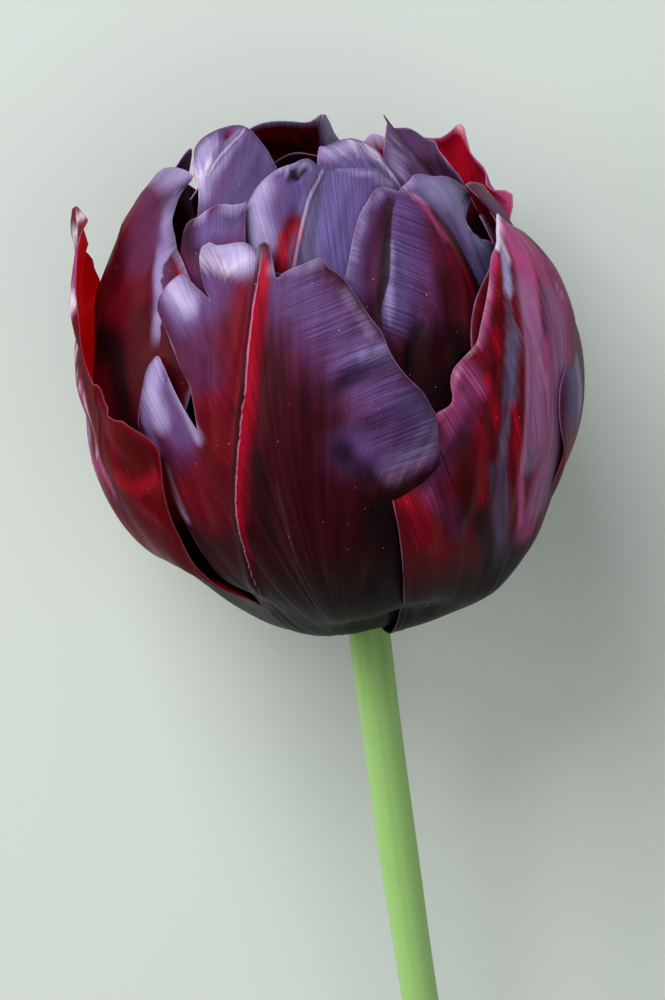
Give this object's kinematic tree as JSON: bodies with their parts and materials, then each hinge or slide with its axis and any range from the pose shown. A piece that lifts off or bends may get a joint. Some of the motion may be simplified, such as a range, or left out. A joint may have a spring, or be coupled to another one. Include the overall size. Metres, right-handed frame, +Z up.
{
  "type": "cut tulip flower",
  "caption": "Near-black double tulip bloom with closely wrapped scalloped petals on a bare, gently curved green stem, cut and lying on its side.",
  "frame": {"origin": "on the surface that the flower lies on, under the middle of its bounding box", "axes": "+Y from the cut end of the stem towards the tips of the petals, +Z up, away from the surface, so that the side the picture shows faces up; +X to the picture's right"},
  "size_m": [0.078, 0.2979, 0.0787],
  "materials": {
    "outer_petal": "satin",
    "inner_petal": "satin",
    "stem": "satin",
    "pistil": "satin",
    "stamen": "matte"
  },
  "bodies": {
    "root": {"stem": "stem", "outer_petal_front": "outer_petal", "outer_petal_right": "outer_petal", "outer_petal_left": "outer_petal", "outer_petal_right_back": "outer_petal", "outer_petal_back": "outer_petal", "outer_petal_left_back": "outer_petal", "mid_petal_left": "inner_petal", "mid_petal_front": "inner_petal", "mid_petal_right": "inner_petal", "mid_petal_far_right": "inner_petal", "mid_petal_back_right": "inner_petal", "mid_petal_back": "inner_petal", "mid_petal_back_left": "inner_petal", "inner_petal_centre": "inner_petal", "inner_petal_crest": "inner_petal", "inner_petal_upper_left": "inner_petal", "inner_petal_left_fold": "inner_petal", "inner_petal_upper_right": "inner_petal", "inner_petal_back_right": "inner_petal", "inner_petal_back": "inner_petal", "inner_petal_back_left": "inner_petal", "heart_petal_1": "inner_petal", "heart_petal_2": "inner_petal", "heart_petal_3": "inner_petal", "heart_petal_4": "inner_petal", "heart_petal_5": "inner_petal", "pistil": "pistil", "stamen_1": "stamen", "stamen_2": "stamen", "stamen_3": "stamen", "stamen_4": "stamen", "stamen_5": "stamen", "stamen_6": "stamen"}
  },
  "joints": []
}
